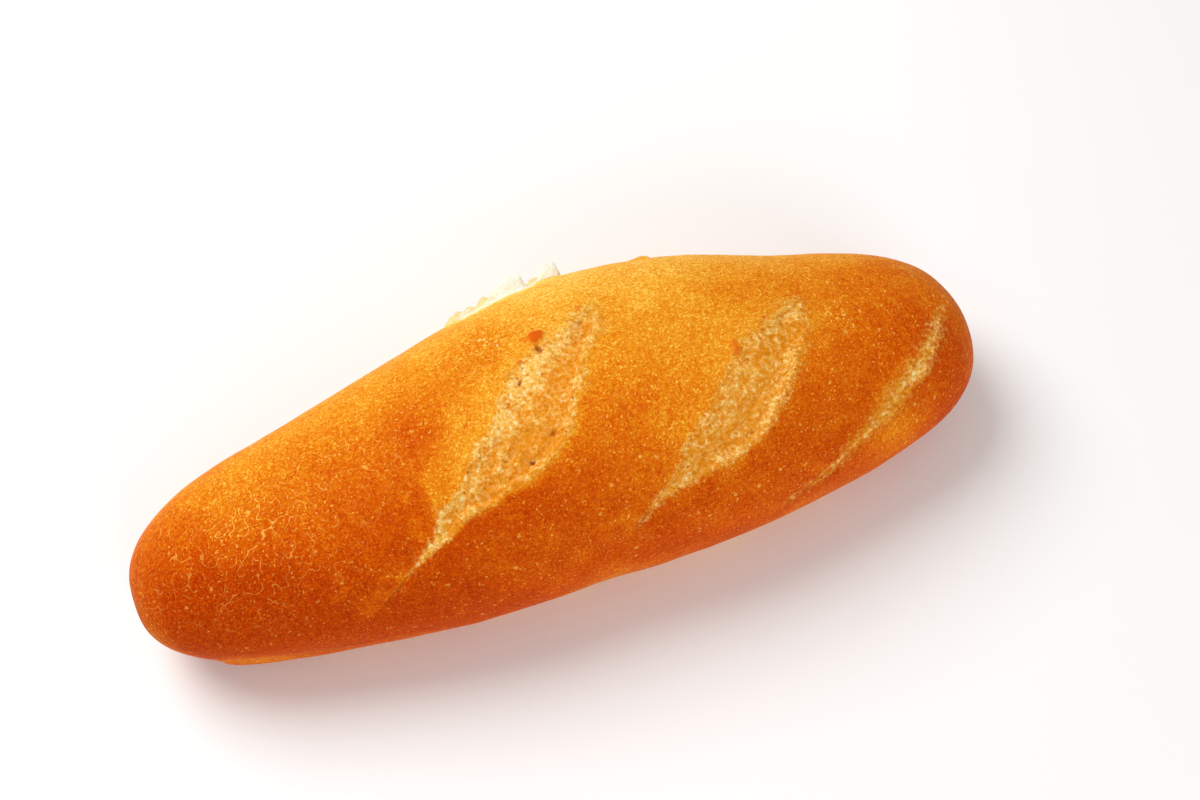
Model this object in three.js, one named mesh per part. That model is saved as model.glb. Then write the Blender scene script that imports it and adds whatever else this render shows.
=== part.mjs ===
// A small baguette: one loaf, baked in one piece, lying on the flat face that it was baked on.
//
// Millimetres. X runs along the loaf, Y across it and Z up, with the origin on the surface that the
// loaf rests on, under the middle of its outline. The near flank is the one at -Y.
//
// A point of the crust is named by two numbers. "u" runs along the loaf, from -1 at the blunt end to
// 1 at the other. "roll" is the angle round the loaf in degrees: 0 at the crown, -90 at the widest
// line of the near flank, 90 at that of the far flank, and 180 under the middle of the base.
import * as THREE from "three";

// Driving dimensions.
const LENGTH = 205;
const NEAR_HALF_WIDTHS = [34.5, 31.5, 32, 31.5, 33, 33.5, 35]; // at even steps of u, before END_ROUNDING
const FAR_HALF_WIDTHS = [31.5, 31, 35, 41, 41, 35.5, 36.5];
const END_ROUNDING = 0.375; // power of 1 - u * u: smaller is a blunter end
const BELLY_HEIGHT = 20.5; // of the widest line, mid length
const NOSE_HEIGHT_SHARE = 0.8; // the widest line drops to this share of BELLY_HEIGHT at the tips
const CROWN_SHARE = 0.81; // rise of the crown above the widest line, per half width
const KEEL_SHARE = 0.92; // drop below the widest line that the base cuts off flat, per half width
const STEEPEST_KEEL = 78; // degrees below the widest line where the underside turns flat at the latest

// The three scores. Each runs from the low end on the near flank up to the crown. Its left and right
// edges are so many millimetres right of the line between its ends, at even steps along that line.
const SCORES = [
  {
    from: { x: -51, roll: -64 },
    to: { x: 13.5, roll: 25.5 },
    left: [-0.2, -2.3, -3.9, -5.7, -7.5, -6, -2.2],
    right: [0, -0.9, 1, 6.3, 8.6, 5.2, 1],
    depth: 1.4,
    lip: 0.4,
  },
  {
    from: { x: 7, roll: -64 },
    to: { x: 58.5, roll: 11.5 },
    left: [-0.5, -1.6, -2.9, -3.3, -3.7, -3.9, -1],
    right: [-0.4, 0.8, 6.8, 10.3, 9.8, 6.4, 0.8],
    depth: 1.1,
    lip: 0.4,
  },
  {
    from: { x: 43, roll: -84 },
    to: { x: 94, roll: -6 },
    left: [0, 2.3, 1.8, 1.8, 2.1, 1.2, -1],
    right: [0, 2.9, 4.4, 6.8, 6.9, 4.4, -0.8],
    depth: 0.7,
    lip: 0.1,
  },
];
const GIRTH_RADIUS = 33; // turns roll into millimetres round the crust
const LIP_REACH = 4.5; // how far the raised lip spreads to the left of an opening
const LIP_SHARE = 0.3; // of an opening's width, over which its lip comes down
const SLOPE_SHARE = 0.75; // of an opening's width, over which its floor goes down
const WALL_WIDTH = 3; // over which the floor comes up again to the right edge
const OPEN_WIDTH = 8; // an opening this wide has its full depth and lip
const END_REACH = 3; // how far an opening carries on past its ends

// The foot: by the blunt end the near flank comes down fuller, and spreads a little on the base.
const FOOT = { from: -0.9, to: -0.3, reach: 5.5, height: 15 };
const FOOT_END = 0.05; // in u, the stretch over which the foot starts

// Where a neighbouring loaf tore away from the far flank.
const TEAR = { x: 0, roll: 76, halfLength: 19, halfGirth: 9, rise: 1 };

// Fineness of the crust's mesh.
const RINGS = 84; // along the loaf
const CROWN_COLUMNS = 38; // from one widest line over the crown to the other
const FLANK_COLUMNS = 5; // from a widest line down to the base
const BASE_COLUMNS = 6;
const TIP_CROWDING = 6; // higher keeps the rings more even, lower crowds them at the tips
const PROBE = 1e-3; // step in u and in radians that the crust's slope is measured over

const radians = THREE.MathUtils.degToRad;
const smooth = THREE.MathUtils.smoothstep;
const halfLength = LENGTH / 2;

// A smooth curve through values at even steps of u from -1 to 1.
function curve(values, u) {
  const place = ((u + 1) / 2) * (values.length - 1);
  const i = Math.min(Math.floor(place), values.length - 2);
  const t = place - i;
  const at = (k) => values[THREE.MathUtils.clamp(k, 0, values.length - 1)];
  const [a, b, c, d] = [at(i - 1), at(i), at(i + 1), at(i + 2)];
  const bend = (2 * a - 5 * b + 4 * c - d) * t ** 2 + (3 * b - a - 3 * c + d) * t ** 3;
  return b + ((c - a) * t + bend) / 2;
}

const endTaper = (u) => Math.max(1 - u * u, 0) ** END_ROUNDING;

// The measures of the section at u.
function sectionAt(u) {
  const taper = endTaper(u);
  const near = curve(NEAR_HALF_WIDTHS, u) * taper;
  const far = curve(FAR_HALF_WIDTHS, u) * taper;
  const mean = (near + far) / 2;
  const belly = BELLY_HEIGHT * THREE.MathUtils.lerp(NOSE_HEIGHT_SHARE, 1, taper);
  const drop = KEEL_SHARE * mean;
  const steepest = radians(STEEPEST_KEEL);
  const keel = Math.min(Math.asin(Math.min(belly / Math.max(drop, PROBE), 1)), steepest);
  return { near, far, belly, drop, rise: CROWN_SHARE * mean, keel };
}

// The plain loaf, before its scores and other relief. "angle" is roll in radians.
function plainPoint(u, angle) {
  const { near, far, belly, rise, drop } = sectionAt(u);
  const across = Math.sin(angle) * (angle < 0 ? near : far);
  const up = Math.cos(angle) * (Math.cos(angle) > 0 ? rise : drop);
  return new THREE.Vector3(halfLength * u, across, belly + up);
}

function plainNormal(u, angle) {
  const inside = THREE.MathUtils.clamp(u, 2 * PROBE - 1, 1 - 2 * PROBE);
  const along = plainPoint(inside + PROBE, angle).sub(plainPoint(inside - PROBE, angle));
  const round = plainPoint(inside, angle + PROBE).sub(plainPoint(inside, angle - PROBE));
  return along.cross(round).normalize();
}

// Height of the crust over the plain loaf at and beside one score: a lip raised along its left edge,
// and a floor that goes down from there and comes up to the crust at its right edge.
function scoreRelief(score, x, girth) {
  const start = new THREE.Vector2(score.from.x, radians(score.from.roll) * GIRTH_RADIUS);
  const run = new THREE.Vector2(score.to.x, radians(score.to.roll) * GIRTH_RADIUS).sub(start);
  const here = new THREE.Vector2(x, girth).sub(start);
  const p = here.dot(run) / run.lengthSq();
  const rightwards = here.cross(run) / run.length();
  const step = THREE.MathUtils.clamp(2 * p - 1, -1, 1);
  const leftEdge = curve(score.left, step);
  const rightEdge = curve(score.right, step);
  const width = Math.max(rightEdge - leftEdge, PROBE);
  const pastEnd = Math.max(-p, p - 1, 0) * run.length();
  const openness = smooth(width, 0, OPEN_WIDTH) * (1 - smooth(pastEnd, 0, END_REACH));
  const fromLeft = rightwards - leftEdge;
  const share = fromLeft / width;
  const spread = Math.exp(-((Math.min(fromLeft, 0) / LIP_REACH) ** 2));
  const lip = score.lip * spread * (1 - smooth(share, 0, LIP_SHARE));
  const wall = smooth(rightEdge - rightwards, 0, WALL_WIDTH);
  return openness * (lip - score.depth * smooth(share, 0, SLOPE_SHARE) * wall);
}

// The torn patch stands a little proud of the far flank.
function tearRelief(x, girth) {
  const round = (girth - radians(TEAR.roll) * GIRTH_RADIUS) / TEAR.halfGirth;
  const distance = Math.hypot((x - TEAR.x) / TEAR.halfLength, round);
  return TEAR.rise * (1 - smooth(distance, 0.7, 1));
}

function crustPoint(u, angle) {
  const point = plainPoint(u, angle);
  const girth = angle * GIRTH_RADIUS;
  const scored = SCORES.reduce((sum, score) => sum + scoreRelief(score, point.x, girth), 0);
  const relief = scored + tearRelief(point.x, girth);
  return point.addScaledVector(plainNormal(u, angle), relief);
}

// How far the foot stands out from the near flank at u and at a height over the base.
function footReach(u, height) {
  const start = smooth(u, FOOT.from, FOOT.from + FOOT_END);
  const fade = 1 - smooth(u, FOOT.from + FOOT_END, FOOT.to);
  return FOOT.reach * start * fade * (1 - smooth(height, 0, FOOT.height));
}

// One ring of the crust at u, from the near edge of the base up, over and down, and back underneath.
function ringAt(u) {
  const { near, far, belly, drop, keel } = sectionAt(u);
  const flank = Math.PI / 2;
  const points = [];
  for (let i = 0; i < FLANK_COLUMNS; i++) {
    points.push(crustPoint(u, -flank - keel * (1 - i / FLANK_COLUMNS)));
  }
  for (let i = 0; i <= CROWN_COLUMNS; i++) {
    points.push(crustPoint(u, flank * ((2 * i) / CROWN_COLUMNS - 1)));
  }
  for (let i = 1; i <= FLANK_COLUMNS; i++) {
    points.push(crustPoint(u, flank + (keel * i) / FLANK_COLUMNS));
  }
  const baseHeight = Math.max(belly - drop * Math.sin(keel), 0);
  for (const point of points) {
    point.z = Math.max(point.z, baseHeight);
    if (point.y < 0) point.y -= footReach(u, point.z);
  }
  const [nearEdge, farEdge] = [points[0], points[points.length - 1]];
  for (let i = 1; i < BASE_COLUMNS; i++) {
    points.push(farEdge.clone().lerp(nearEdge, i / BASE_COLUMNS));
  }
  return points;
}

// Stations along the loaf, crowded towards the tips, where it rounds off quickly.
function stations() {
  const made = [];
  for (let i = 1; i < RINGS; i++) {
    const even = (2 * i) / RINGS - 1;
    const crowded = even * TIP_CROWDING - Math.sign(even) * Math.abs(even) ** TIP_CROWDING;
    made.push(crowded / (TIP_CROWDING - 1));
  }
  return made;
}

// The rings joined to each other, and the first and last of them to the loaf's two tips.
function loafGeometry() {
  const rings = stations().map(ringAt);
  const around = rings[0].length;
  const tip = (u) => plainPoint(u, 0);
  const points = [...rings.flat(), tip(-1), tip(1)];
  const [firstTip, lastTip] = [points.length - 2, points.length - 1];
  const index = [];
  for (let i = 0; i < around; i++) {
    const next = (i + 1) % around;
    for (let r = 0; r + 1 < rings.length; r++) {
      const [a, b] = [r * around + i, r * around + next];
      index.push(a, a + around, b, b, a + around, b + around);
    }
    const last = (rings.length - 1) * around;
    index.push(firstTip, i, next);
    index.push(lastTip, last + next, last + i);
  }
  const geometry = new THREE.BufferGeometry().setFromPoints(points).setIndex(index);
  geometry.computeBoundingBox();
  const middle = geometry.boundingBox.getCenter(new THREE.Vector3());
  geometry.translate(-middle.x, -middle.y, 0);
  geometry.computeVertexNormals();
  return geometry;
}

const crust = new THREE.MeshStandardMaterial({
  color: 0xd27a24,
  roughness: 0.6,
  metalness: 0,
});

const loaf = new THREE.Mesh(loafGeometry(), crust);
loaf.name = "loaf";

const baguette = new THREE.Group();
baguette.add(loaf);

export default baguette;
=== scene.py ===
import math
from types import SimpleNamespace

import bpy
import numpy as np
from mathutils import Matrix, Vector


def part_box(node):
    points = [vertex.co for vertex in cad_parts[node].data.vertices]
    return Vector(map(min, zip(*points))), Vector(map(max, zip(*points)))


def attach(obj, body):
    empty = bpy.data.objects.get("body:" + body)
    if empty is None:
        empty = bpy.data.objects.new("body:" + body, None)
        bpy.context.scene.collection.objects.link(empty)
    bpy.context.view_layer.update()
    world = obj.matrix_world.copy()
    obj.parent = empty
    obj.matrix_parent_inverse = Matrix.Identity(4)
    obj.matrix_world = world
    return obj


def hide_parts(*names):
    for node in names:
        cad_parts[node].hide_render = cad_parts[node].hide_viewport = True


# The looks of a small baguette. The CAD loaf is replaced by one fine mesh of the same form, which adds
# the torn openings of the scores, their lips and pores, the blisters and wrinkles of the crust, the
# ragged patch where a neighbouring loaf tore away, and the baked base.
#
# The loaf is worked out in millimetres, and scaled to metres when its mesh is made. The studio is in
# metres from the start. A point of the crust is named as in the CAD source: "u" runs from -1 to 1 along
# the loaf, and "roll" is the angle round it in degrees, 0 at the crown, minus on the near flank (-Y).
# "girth" is roll in millimetres round the crust.

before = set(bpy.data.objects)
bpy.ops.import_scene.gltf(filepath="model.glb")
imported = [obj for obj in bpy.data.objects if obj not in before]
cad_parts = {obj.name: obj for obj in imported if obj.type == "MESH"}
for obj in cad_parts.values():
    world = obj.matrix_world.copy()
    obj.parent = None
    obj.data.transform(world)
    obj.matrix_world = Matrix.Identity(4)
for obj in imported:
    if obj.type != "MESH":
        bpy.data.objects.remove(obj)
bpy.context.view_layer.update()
MM = 0.001

# The loaf's form, as in the CAD source.
LOW, HIGH = (np.array(corner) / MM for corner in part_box("loaf"))
HALF_LENGTH = (HIGH[0] - LOW[0]) / 2
NEAR_HALF_WIDTHS = (34.5, 31.5, 32, 31.5, 33, 33.5, 35)
FAR_HALF_WIDTHS = (31.5, 31, 35, 41, 41, 35.5, 36.5)
END_ROUNDING = 0.375
BELLY_HEIGHT = 20.5
NOSE_HEIGHT_SHARE = 0.8
CROWN_SHARE = 0.81
KEEL_SHARE = 0.92
STEEPEST_KEEL = math.radians(78)
GIRTH_RADIUS = 33  # turns roll into millimetres round the crust
FOOT = {"from": -0.9, "to": -0.3, "reach": 5.5, "height": 15}
FOOT_END = 0.05  # in u, the stretch over which the foot starts

# The scores run from low on the near flank up to the crown, along a line between two (x, roll) places.
# Their left and right edges are so far right of that line at even steps along it. "pale" is how pale
# the crumb is, at even steps from the left edge to the right one. "softness" is how gradually the crust
# gives way to the crumb, at even steps along the score. "halo" is how far the crust beside the score
# turns to its paler bake, and "pinch" is how far the crumb keeps in from both edges at the low end.
SCORES = (
    {
        "from": (-51, -64),
        "to": (13.5, 25.5),
        "left": (-0.2, -2.3, -3.9, -5.7, -7.5, -6.0, -2.2),
        "right": (0, -0.9, 1.0, 6.3, 8.6, 5.2, 1.0),
        "pale": (1.0, 0.6, 0.1, 0.0, 0.1),
        "depth": 1.4,
        "lip": 0.4,
        "softness": (0.9, 0.8, 0.8, 1.0, 2.5),
        "roughness": 1.0,
        "halo": 0.72,
        "pinch": 1.1,
    },
    {
        "from": (7, -64),
        "to": (58.5, 11.5),
        "left": (-0.5, -1.6, -2.9, -3.3, -3.7, -3.9, -1.0),
        "right": (-0.4, 0.8, 6.8, 10.3, 9.8, 6.4, 0.8),
        "pale": (0.5, 0.15, 0.05, 0.15, 0.3),
        "depth": 1.1,
        "lip": 0.4,
        "softness": (1.2, 1.2, 1.4, 1.8, 3.0),
        "roughness": 0.6,
        "halo": 0.4,
        "pinch": 0.2,
    },
    {
        "from": (43, -84),
        "to": (94, -6),
        "left": (0, 2.3, 1.8, 1.8, 2.1, 1.2, -1),
        "right": (0, 2.9, 4.4, 6.8, 6.9, 4.4, -0.8),
        "pale": (0.0, 0.25, 0.35, 0.25, 0.0),
        "depth": 0.7,
        "lip": 0.1,
        "softness": (2.6, 2.6, 2.6, 2.6, 3.0),
        "roughness": 0.5,
        "halo": 0.4,
        "pinch": 0.2,
    },
)
LIP_REACH = 4.5  # how far the raised lip spreads to the left of an opening
LIP_SHARE = 0.3  # of an opening's width, over which its lip comes down
SLOPE_SHARE = 0.75  # of an opening's width, over which its floor goes down
WALL_WIDTH = 2.5  # over which the floor comes up again to the right edge
OPEN_WIDTH = 8  # where an opening is this wide it has its full depth and lip
END_REACH = 3  # how far an opening carries on past its ends
RIM_WIDTH = 0.6
RIM_HEIGHT = 0.15
RIM_UNEVENNESS = 0.2
STRAND_LENGTH = 6
STRAND_WIDTH = 1.3
STRAND_HEIGHT = 0.12
HALO_LEFT = 8  # how far the crust is paler beside an opening
HALO_RIGHT = 1.2
HALO_UNEVENNESS = 0.6
CREASE_WIDTH = 0.45
CREASE_DEPTH = 0.28
CREASE_WANDER = 0.3

# Stretches along a score, as shares of its length from the low end.
PINCHED = (0.05, 0.28)  # where it stops being pinched
CREASED = (0.3, 0.5)  # where its crease ends
PALE_LOW_END = (0.12, 0.35)
PALE_HIGH_END = (0.75, 0.92)

# How much of the crumb's paleness comes from its end, its rim, patches, and its lumps. The lumps' share
# is painted light on their tops and painted shade in the hollows between them.
PALE_FROM_END = 0.3
PALE_FROM_RIM = 0.3
PALE_FROM_PATCHES = 0.3
LUMP_LIGHT_AND_SHADE = 0.9

# Pits and dents in the openings: (x, roll, radius, strength). The strength sets both the depth of each
# and the darkness of the painted shade in its hollow.
PIT_DEPTH = 0.7  # at a strength of 1
PIT_WANDER = 0.7
PITS = (
    (9.7, 23.5, 2.0, 0.6),
    (-1.1, 18.8, 1.5, 0.9),
    (-7.4, 9, 0.9, 0.9),
    (-12.1, 2, 0.7, 0.7),
    (-10.0, 0.5, 1.9, 0.45),
    (-15.2, -5, 0.5, 0.6),
    (-17.2, -4, 0.7, 0.6),
    (-17.8, -8, 0.5, 0.6),
    (-4.6, -13.5, 1.1, 0.7),
    (-11.2, -22, 1.0, 1.0),
    (-12.0, -19.5, 2.4, 0.4),
    (-16.1, -16, 2.2, 0.4),
    (-19.5, -18, 0.6, 0.5),
    (-21.2, -23, 0.8, 0.5),
    (-0.4, 15, 0.5, 0.5),
    (-8.9, -21, 0.5, 0.4),
    (36.9, -39, 0.8, 0.7),
    (47.5, -8, 0.8, 0.4),
    (40.0, -25, 2.0, 0.35),
    (58.2, 11, 0.4, 0.6),
    (55.5, 5, 0.5, 0.4),
)

# Blisters that stand up from the crust: (x, roll, length along, size round, height, browning).
BLISTERS = (
    (-0.3, 23.4, 2.0, 1.7, 1.1, 1.0),
    (-2.6, 24.5, 2.2, 1.3, 0.4, 0.45),
    (-6.0, 15.5, 1.6, 1.3, 0.3, 0.45),
    (11.0, 30, 1.2, 0.7, 0.4, 0.7),
    (39.6, -3, 1.5, 3.2, 0.4, 0.55),
    (48.8, 6.5, 1.1, 1.0, 0.3, 0.5),
    (55.8, -79, 2.0, 1.3, 0.5, 0.6),
    (-1.9, -62, 3.2, 2.4, 0.3, 0.3),
    (32, 66, 2.2, 1.2, 0.7, 0.0),
)

# How far the crust is baked, from 0 to 1, with some painted shade in it: at even steps of roll from -120
# to 120, with a change at even steps along the loaf, and patches that differ: (x, roll, radius, change).
BAKE_ROLL_REACH = 120
# The roll curve is partly real bake and partly painted shade: it is darkest down the near flank, which
# faces away from the key lamp.
BAKE_AND_SHADE_BY_ROLL = (0.7, 0.87, 0.83, 0.74, 0.55, 0.43, 0.34, 0.39, 0.45)
BAKE_ALONG = (0.18, 0.13, 0.03, -0.07, -0.07, 0.04, 0.17)
TIP_BAKE = 0.72  # at both tips, all the way round
TIP_STRETCH = (0.88, 0.99)  # of the half length, over which the bake turns to that of the tips
MOST_BAKED = 0.92
HALO_BAKE = 0.25  # beside an opening
STRIP_CHANGE = 0.3  # how much paler the bake is along the foot of both flanks
STRIP_HEIGHT = (0.5, 5)  # over which that fades
BAKE_PATCHES = (
    (-33, 7, 6.5, 0.26),
    (-77, -42, 14, 0.08),
    (-50, 30, 12, -0.05),
    (-8, 26, 7, 0.1),
    (12, -18, 5, 0.04),
    (5, -34, 9, 0.03),
    (66, 4, 7, -0.06),
    (84, -16, 8, 0.1),
    (76, 20, 12, 0.06),
    (72, -70, 13, -0.32),
    (-82, -108, 12, -0.3),
    (-45, -112, 10, -0.15),
    (8, 48, 12, -0.1),
    (27, 12, 9, 0.02),
    (-68, 35, 12, -0.14),
)

# Where the skin of the dough dried and cracked into pale lines: (x, roll, radius, strength). It is
# floured too where the strength is near 1.
CRACKED = ((-76, -14, 24, 0.8), (-46, 12, 14, 0.5), (-11, 32, 7, 1.2), (67, 1, 5, 1.0))

# Where a neighbouring loaf tore away from the far flank, and the flakes of crumb that stand up along
# the tear's upper edge: (x, half width, height).
TEAR = {"x": -1.5, "roll": 76, "half_length": 16, "half_girth": 9, "rise": 1.0}
FLAKES = ((-12.3, 2.4, 1.6), (-1.9, 5.2, 4.0), (8.8, 3.2, 3.2))
FLAKE_ROLL = 64
FLAKE_THICKNESS = 1.0
FIBRE_LENGTH = 5  # of the torn crumb, down the flank
FIBRE_WIDTH = 1.6
FIBRE_HEIGHT = 0.5
TEAR_CHANGE = 0.3  # how much paler the crust is baked at the edge of the tear
TEAR_CHANGE_REACH = 2.5

# The shallow fold that runs down from the crown between the first two scores, between (x, roll) places.
FOLD = {"from": (11, 0), "to": (13.5, -33)}
FOLD_RIDGE = {"height": 0.3, "width": 2.0, "sideways": 1.8}
FOLD_GROOVE = {"depth": 0.45, "width": 1.0}

# Unevenness as layers of noise: (strength, size of its features, seed).
CRUST_SWELLS = ((0.4, 26, 1), (0.22, 11, 2), (0.06, 4, 3))
EDGE_WANDER = ((0.8, 7, 0), (0.8, 3, 1), (0.4, 1.4, 5))
CRUMB_LUMPS = ((0.4, 2.8, 3), (0.2, 1.2, 4))
BLISTER_OUTLINE = ((0.35, 1.4, 50), (0.15, 0.8, 51))
TEAR_OUTLINE = ((0.3, 8, 60), (0.14, 2.6, 61))
TEAR_LUMPS = ((0.8, 3.2, 62), (0.45, 1.4, 63))
BAKE_CLOUDS = ((0.08, 15, 70), (0.05, 6, 71), (0.03, 2.5, 72))
BASE_BUMPS = ((0.3, 5, 80), (0.15, 2, 81))

# What each mask is away from everything it marks.
OUTSIDE = {
    "opening": -50,
    "pale": 0,
    "score_along": 0,
    "score_across": 0,
    "crease": 50,
    "halo": 0,
    "pit_shade": 0,
    "blister": 0,
    "torn": -50,
    "bake": 0.5,
    "cracked": 0,
}

RELIEF_FADE = 0.6  # of the way from the widest line down to the base, where the relief starts to fade

# Fineness of the mesh.
RINGS = 372
CROWN_COLUMNS = 196
FLANK_COLUMNS = 22
BASE_COLUMNS = 16
TIP_CROWDING = 6  # higher keeps the rings more even, lower crowds them at the tips
PROBE = 1e-3  # step in u and in radians that the crust's slope is measured over
BASE_TEXEL_SHARE = 0.5  # the base's share of the baked picture, against the same length of crust
TIP_RINGS = 3  # a tip's fan has so many rings' share of the baked picture


# Curves and noise


def smooth(value, low, high):
    t = np.clip((value - low) / (high - low), 0, 1)
    return t * t * (3 - 2 * t)


def mix(a, b, share):
    return a + (b - a) * share


def hat(value, reach):
    """1 at 0, falling to nearly 0 like a bell over about twice reach."""
    return np.exp(-((value / reach) ** 2))


def hump(p):
    """From 0 to 1 and back over p = 0..1."""
    return np.sin(math.pi * np.clip(p, 0, 1))


def curve(values, u):
    """A smooth curve through values at even steps of u from -1 to 1."""
    values = np.asarray(values, float)
    place = (u + 1) / 2 * (len(values) - 1)
    i = np.minimum(place.astype(int), len(values) - 2)
    t = place - i
    a, b, c, d = (values[np.clip(i + k, 0, len(values) - 1)] for k in (-1, 0, 1, 2))
    bend = (2 * a - 5 * b + 4 * c - d) * t**2 + (3 * b - a - 3 * c + d) * t**3
    return b + ((c - a) * t + bend) / 2


def lattice(corner, seed):
    """A fixed random number from -1 to 1 for each whole-numbered corner of space."""
    x, y, z = (corner[..., k].astype(np.uint32) for k in range(3))
    mixed = x * np.uint32(374761393) + y * np.uint32(668265263) + z * np.uint32(2147483647)
    mixed = (mixed ^ np.uint32(seed * 40503 + 97)) * np.uint32(1274126177)
    mixed = (mixed ^ (mixed >> np.uint32(15))) * np.uint32(2246822519)
    mixed = mixed ^ (mixed >> np.uint32(13))
    return mixed.astype(np.float64) / 2**31 - 1


def noise(points, size, seed):
    """Smooth noise from -1 to 1, with features of about size."""
    scaled = points / size + 1000
    cell = np.floor(scaled).astype(np.int64)
    t = scaled - cell
    t = t * t * t * (t * (6 * t - 15) + 10)
    total = np.zeros(points.shape[:-1])
    for corner in np.ndindex(2, 2, 2):
        weight = np.prod(np.where(np.array(corner) == 1, t, 1 - t), axis=-1)
        total += weight * lattice(cell + np.array(corner), seed)
    return total


def layers(points, table, seed=0):
    """The sum of the noises in a table of (strength, size, seed)."""
    return sum(strength * noise(points, size, seed + own) for strength, size, own in table)


# The plain loaf, as in the CAD source


def section(u):
    taper = np.maximum(1 - u * u, 0) ** END_ROUNDING
    near = curve(NEAR_HALF_WIDTHS, u) * taper
    far = curve(FAR_HALF_WIDTHS, u) * taper
    mean = (near + far) / 2
    belly = BELLY_HEIGHT * mix(NOSE_HEIGHT_SHARE, 1, taper)
    drop = KEEL_SHARE * mean
    keel = np.arcsin(np.minimum(belly / np.maximum(drop, PROBE), 1))
    keel = np.minimum(keel, STEEPEST_KEEL)
    return near, far, belly, CROWN_SHARE * mean, drop, keel


def plain_points(u, angle):
    near, far, belly, rise, drop, _ = section(u)
    across = np.sin(angle) * np.where(angle < 0, near, far)
    up = np.cos(angle) * np.where(np.cos(angle) > 0, rise, drop)
    return np.stack([HALF_LENGTH * u + 0 * angle, across, belly + up], axis=-1)


def plain_normals(u, angle):
    u = np.clip(u, 2 * PROBE - 1, 1 - 2 * PROBE)
    along = plain_points(u + PROBE, angle) - plain_points(u - PROBE, angle)
    around = plain_points(u, angle + PROBE) - plain_points(u, angle - PROBE)
    normal = np.cross(along, around)
    return normal / np.linalg.norm(normal, axis=-1, keepdims=True)


def stations():
    even = 2 * np.arange(1, RINGS) / RINGS - 1
    crowded = even * TIP_CROWDING - np.sign(even) * np.abs(even) ** TIP_CROWDING
    return crowded / (TIP_CROWDING - 1)


def girth_of(roll):
    return math.radians(roll) * GIRTH_RADIUS


# Relief: how far each point of the crust stands over the plain loaf, and what it is made of


def along_line(start, end, x, girth):
    """Against a line between two (x, roll) places: the share along it, how far right, its length."""
    start = np.array([start[0], girth_of(start[1])])
    run = np.array([end[0], girth_of(end[1])]) - start
    length = np.hypot(*run)
    dx, dg = x - start[0], girth - start[1]
    p = (dx * run[0] + dg * run[1]) / length**2
    return p, (dx * run[1] - dg * run[0]) / length, length


def score_places(score, x, girth, points, seed):
    """Where each point lies in and beside one score."""
    p, rightwards, length = along_line(score["from"], score["to"], x, girth)
    steps = np.clip(2 * p - 1, -1, 1)
    left, right = curve(score["left"], steps), curve(score["right"], steps)
    width = np.maximum(right - left, 0.01)
    across = rightwards + layers(points, EDGE_WANDER, seed) * smooth(width, 0.5, 5)
    past_end = np.maximum(np.maximum(-p, p - 1), 0) * length
    from_left, from_right = across - left, right - across
    inside = np.minimum(from_left, from_right) - past_end
    inside -= score["pinch"] * (1 - smooth(p, *PINCHED))
    wander = CREASE_WANDER * noise(points, 2.5, seed + 6)
    middle = np.abs(across - (left + right) / 2 + wander) + past_end
    return SimpleNamespace(
        p=p,
        steps=steps,
        along=p * length,
        rightwards=rightwards,
        width=width,
        past_end=past_end,
        from_left=from_left,
        from_right=from_right,
        inside=inside,
        share=np.clip(from_left / width, 0, 1),
        crease=middle + 2 * smooth(width, 0.6, 2.4) + 2 * smooth(p, *CREASED),
    )


def crumb_height(score, at, points, seed):
    """The lumps and strands of the crumb in one score."""
    grain = np.stack([at.along / STRAND_LENGTH, at.rightwards / STRAND_WIDTH, 0 * at.p], axis=-1)
    strands = 1 - 2 * np.abs(noise(grain, 1, seed + 2))
    return (STRAND_HEIGHT * strands + layers(points, CRUMB_LUMPS, seed)) * score["roughness"]


def score_relief(score, at, crumb, points, seed):
    """Height over the plain loaf: a raised lip, a floor that slopes down from it, a rim and crumb."""
    openness = smooth(at.width, 0, OPEN_WIDTH) * (1 - smooth(at.past_end, 0, END_REACH))
    spread = hat(np.minimum(at.from_left, 0), LIP_REACH)
    lip = score["lip"] * spread * (1 - smooth(at.share, 0, LIP_SHARE))
    wall = smooth(at.from_right, 0, WALL_WIDTH)
    sunk = score["depth"] * smooth(at.share, 0, SLOPE_SHARE) * wall
    rim = RIM_HEIGHT + RIM_UNEVENNESS * noise(points, 4, seed + 7)
    relief = openness * (lip - sunk + rim * hat(at.from_right, RIM_WIDTH))
    relief += crumb * smooth(at.inside, 0.1, 1.2)
    return relief - CREASE_DEPTH * hat(at.crease, CREASE_WIDTH)


def score_masks(score, at, crumb, points, seed):
    """What the material needs to know in and beside one score."""
    patchy = noise(points, 5, seed + 8)
    pale = curve(score["pale"], 2 * at.share - 1)
    pale += PALE_FROM_END * (smooth(at.p, *PALE_HIGH_END) + 1 - smooth(at.p, *PALE_LOW_END))
    pale += PALE_FROM_RIM * (1 + patchy) * hat(at.from_right - 0.7, 0.8)
    # the lumps add painted light on their tops and painted shade in the hollows between them
    pale += PALE_FROM_PATCHES * patchy + LUMP_LIGHT_AND_SHADE * crumb
    reach = np.where(at.from_left < at.from_right, HALO_LEFT, HALO_RIGHT)
    away = np.maximum(-at.inside, 0) / reach + 1 - smooth(at.width, 1, 9)
    away *= 1 + HALO_UNEVENNESS * noise(points, 3, seed + 9)
    return {
        "opening": at.inside / curve(score["softness"], at.steps),
        "pale": pale,
        "score_along": at.along,
        "score_across": at.rightwards,
        "crease": at.crease,
        "halo": score["halo"] * hat(away, 1),
    }


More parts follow.
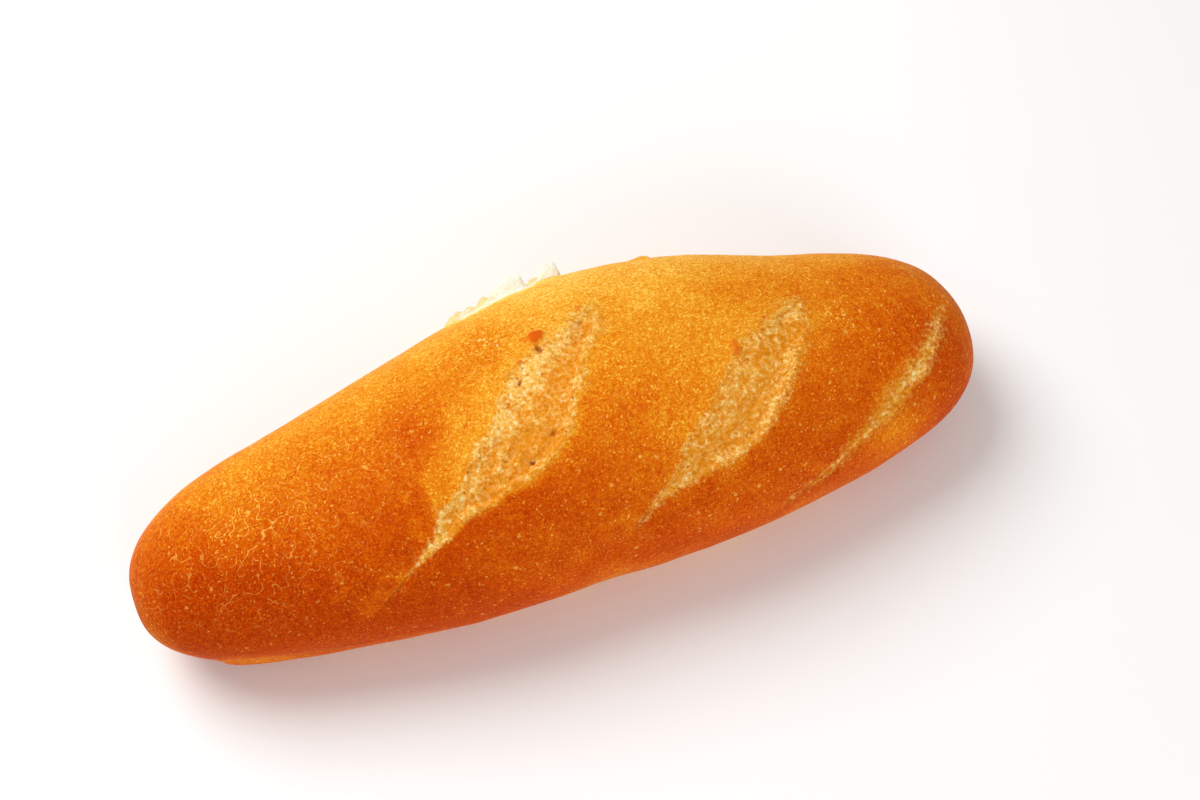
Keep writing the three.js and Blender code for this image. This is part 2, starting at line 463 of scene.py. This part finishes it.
def pit_fields(x, girth, points):
    """Depth of the pits, and how strongly each point gets the painted shade of one, from 0 to 1."""
    depth, inside = np.zeros_like(x), np.zeros_like(x)
    x = x + PIT_WANDER * noise(points, 1.5, 40)
    girth = girth + PIT_WANDER * noise(points, 1.5, 41)
    for px, roll, radius, strength in PITS:
        distance = np.hypot(x - px, girth - girth_of(roll)) / radius
        depth += PIT_DEPTH * strength * (1 - smooth(distance, 0.35, 1.1))
        # how strongly this point gets painted shade from the hollow
        inside = np.maximum(inside, strength * np.clip(1.2 - distance, 0, 1))
    return depth, inside


def blister_fields(x, girth, points):
    """Rise of the blisters, and how far each point is browned by one, from 0 to 1."""
    rise, inside = np.zeros_like(x), np.zeros_like(x)
    ragged = layers(points, BLISTER_OUTLINE)
    for bx, roll, size_x, size_g, height, browning in BLISTERS:
        distance = np.hypot((x - bx) / size_x, (girth - girth_of(roll)) / size_g) + ragged
        dome = 1 - smooth(distance, 0.3, 1.2)
        rise += height * dome
        inside = np.maximum(inside, browning * dome)
    return rise, inside


def tear_fields(x, girth, points):
    """The torn patch on the far flank: a rough plateau of crumb with flakes along its upper edge."""
    across = (girth - girth_of(TEAR["roll"])) / TEAR["half_girth"]
    distance = np.hypot((x - TEAR["x"]) / TEAR["half_length"], across)
    inside = (1 - distance - layers(points, TEAR_OUTLINE)) * TEAR["half_girth"]
    grain = np.stack([x / FIBRE_WIDTH, girth / FIBRE_LENGTH, 0 * x], axis=-1)
    fibres = 1 - 2 * np.abs(noise(grain, 1, 67))
    rough = layers(points, TEAR_LUMPS) + FIBRE_HEIGHT * fibres
    relief = (TEAR["rise"] + rough) * smooth(inside, -0.2, 1.4)
    relief *= smooth(girth, girth_of(FLAKE_ROLL - 4), girth_of(TEAR["roll"]))
    flakes = flake_heights(x, girth, points)
    inside = np.maximum(inside, np.where(flakes > 0.1, flakes * 2 - 0.6, inside))
    return np.maximum(relief, flakes), inside


def flake_heights(x, girth, points):
    """Flakes of crumb that stand up along the tear's upper edge, each highest at its right end."""
    flakes = np.zeros_like(x)
    for fx, half_width, height in FLAKES:
        offset = (x - fx + 0.5 * noise(points, 3, 64)) / half_width
        top = height * smooth(offset, -1.2, 0.5) * (1 - smooth(offset, 0.9, 1.1))
        top *= 1 + 0.15 * noise(points, 2.2, 65)
        flakes = np.maximum(flakes, top)
    bend = 0.8 * noise(points, 6, 66)
    return flakes * hat(girth - girth_of(FLAKE_ROLL) + bend, FLAKE_THICKNESS)


def fold_relief(x, girth):
    p, sideways, _ = along_line(FOLD["from"], FOLD["to"], x, girth)
    ridge = FOLD_RIDGE["height"] * hat(sideways - FOLD_RIDGE["sideways"], FOLD_RIDGE["width"])
    groove = FOLD_GROOVE["depth"] * hat(sideways, FOLD_GROOVE["width"])
    return (ridge - groove) * hump(p)


def bake_field(x, girth, points, halo):
    """How far the crust is baked, 0 palest and 1 darkest, with painted shade darkening the near flank."""
    roll = np.degrees(girth / GIRTH_RADIUS)
    # partly real bake, partly painted shade down the near flank
    bake = curve(BAKE_AND_SHADE_BY_ROLL, np.clip(roll / BAKE_ROLL_REACH, -1, 1))
    bake = bake + curve(BAKE_ALONG, np.clip(x / HALF_LENGTH, -1, 1))
    bake = mix(bake, TIP_BAKE, smooth(np.abs(x) / HALF_LENGTH, *TIP_STRETCH))
    for px, patch_roll, radius, change in BAKE_PATCHES:
        bake += change * hat(np.hypot(x - px, girth - girth_of(patch_roll)), radius)
    bake += layers(points, BAKE_CLOUDS)
    bake = mix(np.minimum(bake, MOST_BAKED), HALO_BAKE, halo)
    strip = 1 - smooth(points[..., 2] + 1.5 * noise(points, 7, 74), *STRIP_HEIGHT)
    return bake - STRIP_CHANGE * strip * (1 + 0.5 * noise(points, 12, 75))


def cracked_field(x, girth):
    """How far the skin of the dough is cracked: 0 not at all, 1 and over fully."""
    cracked = np.zeros_like(x)
    for px, roll, radius, strength in CRACKED:
        distance = np.hypot(x - px, girth - girth_of(roll))
        cracked = np.maximum(cracked, strength * hat(distance, radius))
    return cracked


def crust_fields(x, girth, points):
    """Relief over the plain loaf, and the masks that the material reads, by name."""
    relief = layers(points, CRUST_SWELLS)
    masks = {name: np.full_like(x, value) for name, value in OUTSIDE.items()}
    for i, score in enumerate(SCORES):
        seed = 10 * (i + 1)
        at = score_places(score, x, girth, points, seed)
        crumb = crumb_height(score, at, points, seed)
        relief += score_relief(score, at, crumb, points, seed)
        found = score_masks(score, at, crumb, points, seed)
        nearer = found["opening"] > masks["opening"]
        for name, values in found.items():
            masks[name] = np.where(nearer, values, masks[name])
    pit_depth, masks["pit_shade"] = pit_fields(x, girth, points)
    blister_rise, masks["blister"] = blister_fields(x, girth, points)
    torn_rise, masks["torn"] = tear_fields(x, girth, points)
    relief += blister_rise - pit_depth + torn_rise + fold_relief(x, girth)
    masks["bake"] = bake_field(x, girth, points, masks["halo"])
    masks["bake"] -= TEAR_CHANGE * hat(np.minimum(masks["torn"], 0), TEAR_CHANGE_REACH)
    masks["cracked"] = cracked_field(x, girth)
    return relief, masks


def foot_reach(u, height):
    """How far the foot stands out from the near flank."""
    start = smooth(u, FOOT["from"], FOOT["from"] + FOOT_END)
    fade = 1 - smooth(u, FOOT["from"] + FOOT_END, FOOT["to"])
    return FOOT["reach"] * start * fade * (1 - smooth(height, 0, FOOT["height"]))


# The mesh


def crust_grid():
    """Points of the crust in rings, and its masks: everything but the base and the tips."""
    u = stations()[:, None]
    keel = section(u)[-1]
    flank = math.pi / 2
    down = np.arange(FLANK_COLUMNS)[None, :] / FLANK_COLUMNS
    over = np.linspace(-flank, flank, CROWN_COLUMNS + 1)[None, :] + 0 * u
    angle = np.hstack([-flank - keel * (1 - down), over, flank + keel * (down + 1 / FLANK_COLUMNS)])
    points = plain_points(u, angle)
    girth = angle * GIRTH_RADIUS
    x = points[..., 0]
    relief, masks = crust_fields(x, girth, points)
    edge = np.abs(angle) - flank
    relief *= 1 - smooth(edge, RELIEF_FADE * keel, keel)
    points = points + plain_normals(u, angle) * relief[..., None]
    _, _, belly, _, drop, _ = section(u)
    base_height = np.maximum(belly - drop * np.sin(keel), 0)
    points[..., 2] = np.maximum(points[..., 2], base_height)
    points[..., 1] -= np.where(angle < 0, foot_reach(u, points[..., 2]), 0)
    return points, masks


def base_grid(points):
    """The rest of each ring: the base, from its far edge back to its near edge."""
    share = np.arange(1, BASE_COLUMNS)[None, :, None] / BASE_COLUMNS
    flat = mix(points[:, -1:, :], points[:, :1, :], share)
    inwards = hump(share[..., 0])
    flat[..., 2] += inwards * np.maximum(layers(flat, BASE_BUMPS), 0)
    return flat


def centre_shift():
    """The CAD loaf's outline is centred on the origin. This is how far the plain loaf moves in Y."""
    near_half_widths = section(np.linspace(-1, 1, 2001))[0]
    return LOW[1] + near_half_widths.max()


def ring_columns(points):
    """Where each column of a ring falls from 0 to 1 round the baked picture."""
    middle = points[len(points) // 2]
    steps = np.linalg.norm(np.roll(middle, -1, axis=0) - middle, axis=1)
    steps[-BASE_COLUMNS:] *= BASE_TEXEL_SHARE
    edges = np.concatenate([[0], np.cumsum(steps)])
    return edges / edges[-1]


def ring_places(points):
    """Where each ring falls from 0 to 1 along the baked picture, by its distance over the crown."""
    crown = points[:, FLANK_COLUMNS + CROWN_COLUMNS // 2]
    steps = np.linalg.norm(np.diff(crown, axis=0), axis=1)
    edges = np.concatenate([[0], np.cumsum(steps)]) + steps[0] * TIP_RINGS
    return edges / (edges[-1] + steps[-1] * TIP_RINGS)


def grid_faces(rings, around):
    """Quads between the rings, and the fans that close both tips."""
    ring = np.arange(rings - 1)[:, None] * around
    column = np.arange(around)[None, :]
    a, b = ring + column, ring + (column + 1) % around
    quads = np.stack([a, a + around, b + around, b], axis=-1).reshape(-1, 4)
    first_tip, last_tip = rings * around, rings * around + 1
    i, following = np.arange(around), (np.arange(around) + 1) % around
    last = (rings - 1) * around
    fans = [np.stack([np.full(around, first_tip), i, following], axis=-1)]
    fans.append(np.stack([np.full(around, last_tip), last + following, last + i], axis=-1))
    return quads, np.concatenate(fans)


def grid_uvs(columns, places, around):
    """A UV for every corner of grid_faces, in the same order."""
    column, following = columns[:-1], columns[1:]
    quads = np.empty((len(places) - 1, around, 4, 2))
    quads[..., 0] = np.stack([places[:-1], places[1:], places[1:], places[:-1]], axis=-1)[:, None]
    quads[..., 1] = np.stack([column, column, following, following], axis=-1)[None]
    first, last = places[0], places[-1]
    first_fan, last_fan = [], []
    for c, f in zip(column, following):
        first_fan += [[0, (c + f) / 2], [first, c], [first, f]]
        last_fan += [[1, (c + f) / 2], [last, f], [last, c]]
    return np.concatenate([quads.reshape(-1, 2), first_fan, last_fan])


def loaf_mesh():
    """The whole loaf, with a number from every mask at each point, and its UVs."""
    crust, masks = crust_grid()
    base = base_grid(crust)
    points = np.concatenate([crust, base], axis=1)
    rings, around = points.shape[:2]
    tips = plain_points(np.array([-1.0, 1.0]), np.zeros(2))
    places = np.concatenate([points.reshape(-1, 3), tips])
    places[:, 1] += centre_shift()
    quads, fans = grid_faces(rings, around)
    mesh = bpy.data.meshes.new("loaf_crust")
    mesh.from_pydata((places * MM).tolist(), [], quads.tolist() + fans.tolist())
    mesh.shade_smooth()

    under = np.arange(1, BASE_COLUMNS)[None, :] / BASE_COLUMNS
    for name, values in masks.items():
        below = mix(values[:, -1:], values[:, :1], under)
        tip_values = values[[0, -1], values.shape[1] // 2]
        values = np.concatenate([np.hstack([values, below]).ravel(), tip_values])
        layer = mesh.attributes.new(name, "FLOAT", "POINT")
        layer.data.foreach_set("value", values.astype(np.float32))
    uvs = grid_uvs(ring_columns(points), ring_places(points), around)
    layer = mesh.uv_layers.new(name="OFBake")
    layer.data.foreach_set("uv", uvs.astype(np.float32).ravel())
    return mesh


# The crust's material


class Shader:
    """Adds nodes to a material's tree. An input is a number, a colour or another node's socket."""

    def __init__(self, tree):
        self.tree = tree

    def add(self, kind, inputs=(), **settings):
        made = self.tree.nodes.new("ShaderNode" + kind)
        for name, value in settings.items():
            setattr(made, name, value)
        for key, value in dict(inputs).items():
            self.feed(made.inputs[key], value)
        return made

    def feed(self, socket, value):
        if isinstance(value, bpy.types.NodeSocket):
            self.tree.links.new(value, socket)
        else:
            socket.default_value = value

    def math(self, operation, a, b=0.0, c=0.0):
        made = self.add("Math", {0: a, 1: b, 2: c}, operation=operation)
        return made.outputs[0]

    def ramp(self, value, low, high, to_low=0.0, to_high=1.0):
        """value eased from low..high to to_low..to_high, and held at the ends beyond them."""
        settings = {"interpolation_type": "SMOOTHSTEP", "clamp": True}
        ends = {"Value": value, 1: low, 2: high, 3: to_low, 4: to_high}
        return self.add("MapRange", ends, **settings).outputs[0]

    def attribute(self, name):
        return self.add("Attribute", attribute_name=name).outputs["Fac"]

    def blend(self, share, under, over):
        made = self.add("Mix", {0: share, 6: under, 7: over}, data_type="RGBA")
        return made.outputs[2]

    def noise(self, place, size, detail=2.0, roughness=0.5):
        """Smooth noise with features of about size millimetres, from 0 to 1 about 0.5."""
        inputs = {"Vector": place, "Scale": 1 / size, "Detail": detail, "Roughness": roughness}
        return self.add("TexNoise", inputs).outputs["Fac"]

    def warp(self, place, size, reach):
        """place moved about by noise of a size, up to about half of reach."""
        waves = self.add("TexNoise", {"Vector": place, "Scale": 1 / size, "Detail": 1.0})
        centred = self.add("VectorMath", {0: waves.outputs["Color"], 1: (0.5,) * 3}, operation="SUBTRACT")
        moved = {0: centred.outputs[0], 1: (reach,) * 3, 2: place}
        return self.add("VectorMath", moved, operation="MULTIPLY_ADD").outputs[0]

    def cells(self, place, size):
        """Cells about size millimetres across: distance from each one's middle, and a random colour."""
        made = self.add("TexVoronoi", {"Vector": place, "Scale": 1 / size})
        return made.outputs["Distance"], made.outputs["Color"]

    def colours(self, value, stops):
        """A colour ramp through stops of (place, colour)."""
        made = self.add("ValToRGB", {0: value})
        elements = made.color_ramp.elements
        while len(elements) < len(stops):
            elements.new(1.0)
        for element, (place, colour) in zip(elements, stops):
            element.position = place
            element.color = colour
        return made.outputs["Color"]


def rgb(colour):
    """The linear RGBA of an sRGB colour given as 0 to 255."""
    linear = [((c / 255 + 0.055) / 1.055) ** 2.4 if c > 10 else c / 3294 for c in colour]
    return (*linear, 1.0)


# Crust from the palest to the darkest bake.
BAKE_COLOURS = (
    (0.0, (250, 206, 104)),
    (0.2, (240, 172, 50)),
    (0.4, (229, 141, 24)),
    (0.6, (219, 109, 12)),
    (0.8, (201, 77, 5)),
    (1.0, (172, 50, 3)),
)
FLECK = (255, 202, 92)
FLOUR = (255, 230, 160)
CREAM_CRUMB = (255, 238, 180)
PALE_CRUMB = (246, 188, 84)
TAN_CRUMB = (231, 144, 24)
BROWN_CRUMB = (196, 104, 18)
# Painted shade inside the crumb's pores.
PORE_SHADE = (164, 66, 8)
# Painted shade in the hollows of the pits and dents.
PIT_SHADE = (152, 42, 2)
# Painted shade along the closed crease at the low end of a score.
CREASE_SHADE = (176, 80, 16)
BLISTER = (218, 80, 6)  # the browned top of one
# The crumb's own white with painted light added, for the flakes atop the tear.
WHITE_CRUMB_AND_LIGHT = (255, 252, 236)
TORN_CRUMB = (240, 212, 150)
DRY_CRUMB = (224, 180, 100)
WHITEST_HEIGHT = (32, 36)  # over which the torn crumb turns whitest, with painted light on the flakes at the top
BASE = (206, 134, 66)
BROWN_BASE = (168, 92, 36)
CRUST_SHEEN = (255, 190, 120)

# The crust's fine mottle, (size, strength), and its small paler specks.
MOTTLE = ((1.8, 0.16), (0.9, 0.36), (0.45, 0.5))
SPECK_SIZE = 0.5
SPECK_STRENGTH = -0.25

# Dots: the size of their cells, the number over which a cell's dot shows, and the largest radius.
SMALL_FLECKS = {"size": 0.95, "chosen": 0.25, "radius": 0.27}
LARGE_FLECKS = {"size": 3.0, "chosen": 0.3, "radius": 0.5}
FLOUR_FLECKS = {"size": 1.1, "chosen": 0.3, "radius": 0.34}
# the pores' dots carry painted shade
PORES = {"size": 1.9, "chosen": 0.5, "radius": 0.45}

# What bends dots out of round: (size, reach).
FLECK_WARP = (0.7, 1.2)
FLOUR_WARP = (0.6, 0.9)
PORE_WARP = (0.7, 0.9)

# How ragged an edge is: an opening's and a pit's in the units of their masks, the base's in millimetres.
OPENING_RAGGEDNESS = 6.0
PIT_RAGGEDNESS = 0.5
BASE_RAGGEDNESS = 3.0

# Thin wandering lines: the size of their bends, their width in the noise that draws them, and the level
# of a second noise under which they break.
SHORT_THREADS = {"size": 1.7, "width": 0.026, "gaps": 0.565}
LONG_THREADS = {"size": 5.0, "width": 0.011, "gaps": 0.43}

GRAIN_ALONG = 0.3  # the crumb's grain in a score changes this much as fast along it as across it
CRUST_ROUGHNESS = 0.5
CRUMB_ROUGHNESS = 0.9
SPECULAR_LEVEL = 0.02
SUBSURFACE_WEIGHT = 0.25
SUBSURFACE_RADIUS = (1.0, 0.35, 0.1)
SUBSURFACE_DEPTH = 1.2  # millimetres
FINE_BUMP = 0.05  # millimetres, all over
CRUMB_BUMP = 0.3  # millimetres, in the scores and the tear


def fine_bake(s, place, bake):
    """The bake with its fine mottle, which shows most where the crust is pale."""
    mottle = s.math("MULTIPLY", s.ramp(s.noise(place, SPECK_SIZE, 1), 0.54, 0.7), SPECK_STRENGTH)
    for size, strength in MOTTLE:
        wave = s.math("SUBTRACT", s.noise(place, size, 1), 0.5)
        mottle = s.math("MULTIPLY_ADD", wave, strength, mottle)
    return s.math("MULTIPLY_ADD", mottle, s.ramp(bake, 0.45, 0.95, 1.0, 0.6), bake)


def threads(s, place, size, width, gaps):
    """Thin wandering lines, broken where a second noise is under gaps."""
    away = s.math("ABSOLUTE", s.math("SUBTRACT", s.noise(place, size, 1), 0.5))
    line = s.ramp(away, 0.3 * width, width, 1.0, 0.0)
    unbroken = s.ramp(s.noise(place, 0.45 * size, 0), gaps, gaps + 0.06)
    return s.math("MULTIPLY", line, unbroken)


def dots(s, place, size, chosen, radius):
    """Dots up to radius, in the share of cells of a size whose random number is over chosen."""
    distance, random = s.cells(place, size)
    number = s.add("SeparateColor", {0: random}).outputs[0]
    reach = s.ramp(number, chosen, 1.0, 0.0, radius / size)
    return s.ramp(s.math("SUBTRACT", reach, distance), 0.0, 0.15 * radius / size)


def crust_flecks(s, place, masks):
    """Pale flecks, and threads where the skin of the dough dried and cracked."""
    small = s.math("MULTIPLY", dots(s, s.warp(place, *FLECK_WARP), **SMALL_FLECKS), 0.7)
    large = s.math("MULTIPLY", dots(s, s.warp(place, *FLECK_WARP), **LARGE_FLECKS), 0.6)
    short, long = threads(s, place, **SHORT_THREADS), threads(s, place, **LONG_THREADS)
    cracked = s.ramp(masks["cracked"], 0.0, 0.85, 0.1, 0.9)
    threaded = s.math("MULTIPLY", s.math("MAXIMUM", short, long), cracked)
    flecks = s.math("MAXIMUM", s.math("MAXIMUM", small, large), threaded)
    return s.math("MULTIPLY", flecks, s.ramp(masks["bake"], 0.5, 0.95, 1.0, 0.45))


def crust_colour(s, place, masks):
    """Baked crust with its flecks, and flour where it is cracked most."""
    stops = [(at, rgb(colour)) for at, colour in BAKE_COLOURS]
    colour = s.colours(fine_bake(s, place, masks["bake"]), stops)
    colour = s.blend(crust_flecks(s, place, masks), colour, rgb(FLECK))
    floured = s.ramp(masks["cracked"], 0.8, 1.0, 0.0, 0.85)
    flour = s.math("MULTIPLY", dots(s, s.warp(place, *FLOUR_WARP), **FLOUR_FLECKS), floured)
    return s.blend(flour, colour, rgb(FLOUR))


def opening_colour(s, place, masks):
    """The crumb in a score: cream where it opened last, tan where it baked."""
    blotch = s.math("SUBTRACT", s.noise(place, 1.6, 3, 0.7), 0.5)
    pale = s.math("MULTIPLY_ADD", blotch, 4.0, masks["pale"])
    pale = s.ramp(pale, -0.1, 1.1)
    colour = s.blend(pale, rgb(TAN_CRUMB), rgb(PALE_CRUMB))
    along = s.math("MULTIPLY", masks["score_along"], GRAIN_ALONG)
    grain_place = s.add("CombineXYZ", {0: along, 1: masks["score_across"]}).outputs[0]
    grain = s.noise(grain_place, 0.6, 2, 0.7)
    colour = s.blend(s.ramp(grain, 0.5, 0.75, 0.0, 0.5), colour, rgb(PALE_CRUMB))
    speckle = s.noise(place, 0.9, 4, 0.75)
    browned = s.ramp(speckle, 0.5, 0.66, 0.0, 0.6)
    colour = s.blend(browned, colour, rgb(BROWN_CRUMB))
    creamed = s.math("MULTIPLY", s.ramp(speckle, 0.5, 0.34), s.ramp(pale, 0.0, 1.0, 0.25, 0.95))
    return s.blend(creamed, colour, rgb(CREAM_CRUMB))


def pore_shade_share(s, place, masks):
    """Where the painted shade of an opening's pores shows, most in its pale crumb."""
    pores = dots(s, s.warp(place, *PORE_WARP), **PORES)
    return s.math("MULTIPLY", pores, s.ramp(masks["pale"], 0.1, 0.7, 0.28, 0.72))


def tear_colour(s, place, height):
    """Soft crumb, whitest along the tear's upper edge, where painted light is added to its own pale
    colour, and yellower where it is drier.
    """
    colour = s.blend(s.ramp(height, *WHITEST_HEIGHT), rgb(TORN_CRUMB), rgb(WHITE_CRUMB_AND_LIGHT))
    dry = s.ramp(s.noise(place, 1.8, 4, 0.75), 0.48, 0.68, 0.0, 0.6)
    dry = s.math("MULTIPLY", dry, s.ramp(height, *WHITEST_HEIGHT, 1.0, 0.3))
    return s.blend(dry, colour, rgb(DRY_CRUMB))


def base_colour(s, place):
    """The baked base: brown, browner in patches."""
    brown = s.ramp(s.noise(place, 7, 4, 0.65), 0.35, 0.65)
    return s.blend(brown, rgb(BASE), rgb(BROWN_BASE))


def crumb_relief(s, place, crumbly):
    """Fine unevenness for the bump: a little all over, and more in the crumb."""
    fine = s.math("MULTIPLY", s.noise(place, 0.5, 2, 0.6), FINE_BUMP)
    lumps = s.math("MULTIPLY", s.noise(place, 0.9, 2), crumbly)
    return s.math("MULTIPLY_ADD", lumps, CRUMB_BUMP, fine)


def crust_material():
    material = bpy.data.materials.new("crust")
    material.use_nodes = True
    tree = material.node_tree
    tree.nodes.clear()
    s = Shader(tree)
    coordinates = s.add("TexCoord").outputs["Object"]
    place = s.add("VectorMath", {0: coordinates, 3: 1 / MM}, operation="SCALE").outputs[0]
    height = s.add("SeparateXYZ", {0: place}).outputs[2]
    masks = {name: s.attribute(name) for name in OUTSIDE}
    ragged = s.math("SUBTRACT", s.noise(place, 1.2, 4, 0.75), 0.5)

    opening = s.math("MULTIPLY_ADD", ragged, OPENING_RAGGEDNESS, masks["opening"])
    pit_shade = s.math("MULTIPLY_ADD", ragged, PIT_RAGGEDNESS, masks["pit_shade"])
    over_base = s.math("MULTIPLY_ADD", ragged, BASE_RAGGEDNESS, height)

    in_opening = s.ramp(opening, -1.0, 1.0)
    pore_shade = s.math("MULTIPLY", pore_shade_share(s, place, masks), in_opening)
    # painted shade in the pits and dents
    pit_shade_share = s.ramp(pit_shade, 0.25, 0.9, 0.0, 0.9)
    # painted shade along the creases
    crease_shade = s.ramp(masks["crease"], 0.05, 0.45, 0.75, 0.0)
    blistered = s.ramp(masks["blister"], 0.1, 0.8, 0.0, 0.85)
    in_tear = s.ramp(masks["torn"], -0.2, 0.5)
    underneath = s.ramp(over_base, 0.3, 1.0, 1.0, 0.0)

    colour = crust_colour(s, place, masks)
    colour = s.blend(in_opening, colour, opening_colour(s, place, masks))
    # painted shade inside the pores
    colour = s.blend(pore_shade, colour, rgb(PORE_SHADE))
    # painted shade in the pits and dents
    colour = s.blend(pit_shade_share, colour, rgb(PIT_SHADE))
    # painted shade along the creases
    colour = s.blend(crease_shade, colour, rgb(CREASE_SHADE))
    colour = s.blend(blistered, colour, rgb(BLISTER))
    colour = s.blend(in_tear, colour, tear_colour(s, place, height))
    colour = s.blend(underneath, colour, base_colour(s, place))

    crumbly = s.math("MAXIMUM", in_opening, in_tear)
    relief = crumb_relief(s, place, crumbly)
    bump = s.add("Bump", {"Height": relief, "Strength": 1.0, "Distance": MM})
    finish = {
        "Base Color": colour,
        "Normal": bump.outputs[0],
        "Roughness": s.ramp(crumbly, 0, 1, CRUST_ROUGHNESS, CRUMB_ROUGHNESS),
        "Specular IOR Level": SPECULAR_LEVEL,
        "Specular Tint": rgb(CRUST_SHEEN),
        "Subsurface Weight": SUBSURFACE_WEIGHT,
        "Subsurface Radius": SUBSURFACE_RADIUS,
        "Subsurface Scale": SUBSURFACE_DEPTH * MM,
    }
    shader = s.add("BsdfPrincipled", finish)
    s.add("OutputMaterial", {"Surface": shader.outputs[0]})
    return material


def build_loaf():
    loaf = bpy.data.objects.new("loaf_crust", loaf_mesh())
    bpy.context.scene.collection.objects.link(loaf)
    loaf.data.materials.append(crust_material())
    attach(loaf, "root")
    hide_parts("loaf")


# The studio, in metres

FLOOR_REACH = 3.0
FLOOR_COLOUR = (0.96, 0.96, 0.96, 1)
WORLD_COLOUR = (1, 0.98, 0.95, 1)
WORLD_STRENGTH = 0.42
LAMP_SIZE = 0.6
LAMP_TARGET = Vector((0, 0, 0.02))
LAMPS = {"key": ((-0.3, 0.43, 0.68), 5.7), "fill": ((0.15, -0.72, 0.32), 2.4)}  # place and watts
CAMERA_LENS = 50
CAMERA_AZIMUTH = math.radians(-20.12)
CAMERA_ELEVATION = math.radians(64)
CAMERA_DISTANCE = 0.3875
CAMERA_AIM = Vector((0.01135, 0.00224, 0.0253))


def build_floor():
    mesh = bpy.data.meshes.new("floor")
    corners = [(FLOOR_REACH * x, FLOOR_REACH * y, 0) for x, y in ((-1, -1), (1, -1), (1, 1), (-1, 1))]
    mesh.from_pydata(corners, [], [(0, 1, 2, 3)])
    floor = bpy.data.objects.new("floor", mesh)
    bpy.context.scene.collection.objects.link(floor)
    material = bpy.data.materials.new("floor_paper")
    material.use_nodes = True
    shader = material.node_tree.nodes["Principled BSDF"]
    shader.inputs["Base Color"].default_value = FLOOR_COLOUR
    shader.inputs["Roughness"].default_value = 0.9
    mesh.materials.append(material)


def aim(obj, target):
    obj.rotation_euler = (target - obj.location).to_track_quat("-Z", "Y").to_euler()


def add_lamp(name, location, watts):
    lamp = bpy.data.lights.new(name, "AREA")
    lamp.shape = "DISK"
    lamp.size = LAMP_SIZE
    lamp.energy = watts
    obj = bpy.data.objects.new(name, lamp)
    bpy.context.scene.collection.objects.link(obj)
    obj.location = location
    aim(obj, LAMP_TARGET)


def build_lights():
    world = bpy.data.worlds.new("studio")
    bpy.context.scene.world = world
    world.use_nodes = True
    background = world.node_tree.nodes["Background"]
    background.inputs["Color"].default_value = WORLD_COLOUR
    background.inputs["Strength"].default_value = WORLD_STRENGTH
    for name, (location, watts) in LAMPS.items():
        add_lamp(name, location, watts)


def build_camera():
    camera = bpy.data.objects.new("camera", bpy.data.cameras.new("camera"))
    bpy.context.scene.collection.objects.link(camera)
    camera.data.lens = CAMERA_LENS
    level = math.cos(CAMERA_ELEVATION)
    back = (math.sin(CAMERA_AZIMUTH) * level, -math.cos(CAMERA_AZIMUTH) * level)
    back = Vector((*back, math.sin(CAMERA_ELEVATION)))
    camera.location = CAMERA_AIM + back * CAMERA_DISTANCE
    aim(camera, CAMERA_AIM)
    bpy.context.scene.camera = camera


build_camera()
build_lights()
build_floor()
build_loaf()
bpy.context.scene.view_settings.view_transform = "Standard"
